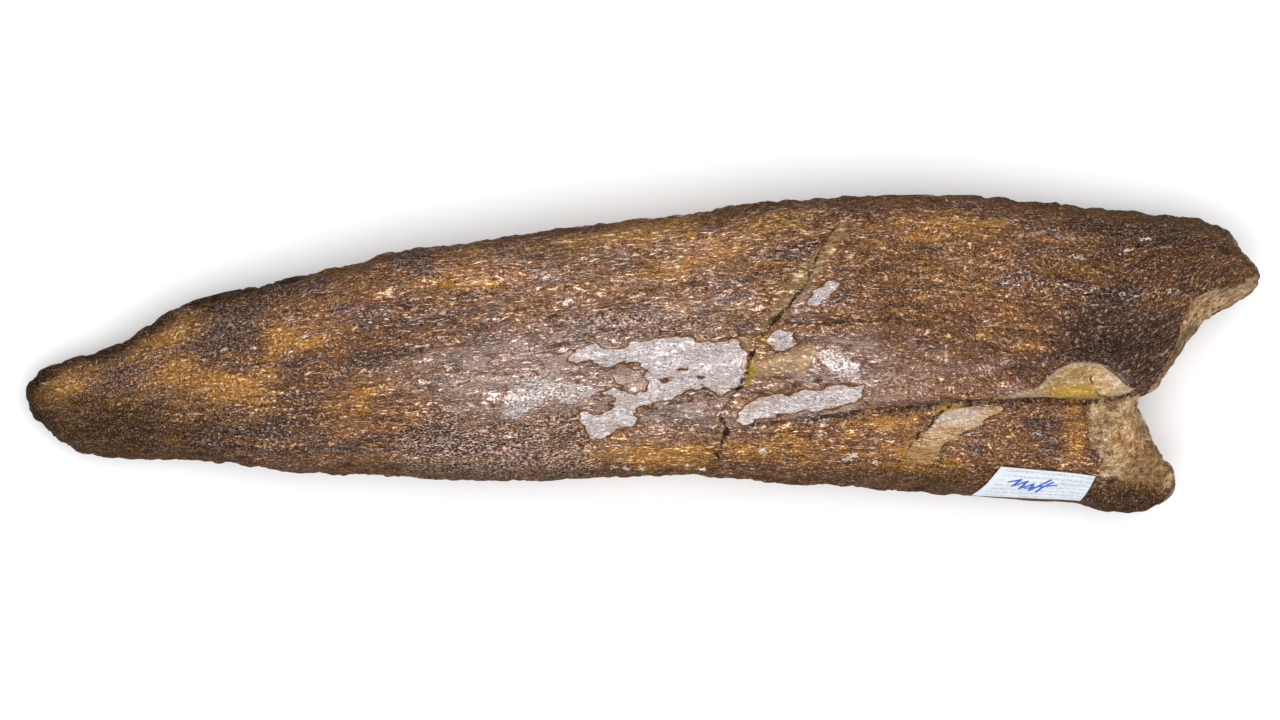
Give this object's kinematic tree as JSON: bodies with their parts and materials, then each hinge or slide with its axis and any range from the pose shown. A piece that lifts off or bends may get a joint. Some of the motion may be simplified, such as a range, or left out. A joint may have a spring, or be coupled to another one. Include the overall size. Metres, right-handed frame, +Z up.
{
  "type": "fossil manatee rib fragment",
  "caption": "Thick, gently bowed fossil rib fragment with a worn tip, a rough forked break, a mended crack and a small paper label on one flank.",
  "frame": {"origin": "bottom centre of the rib's box, on the surface that it lies on", "axes": "+X along the rib from the worn tip to the broken end, +Y across it towards its upper edge in the picture, +Z up, out of its outer face"},
  "size_m": [0.229, 0.0592, 0.0385],
  "materials": {
    "fossil_bone": "fibrous mineralised bone with a thin satin varnish",
    "label_paper": "smooth matt paper, glued on"
  },
  "bodies": {
    "root": {"rib_bone": "fossil_bone", "paper_label": "label_paper"}
  },
  "joints": []
}
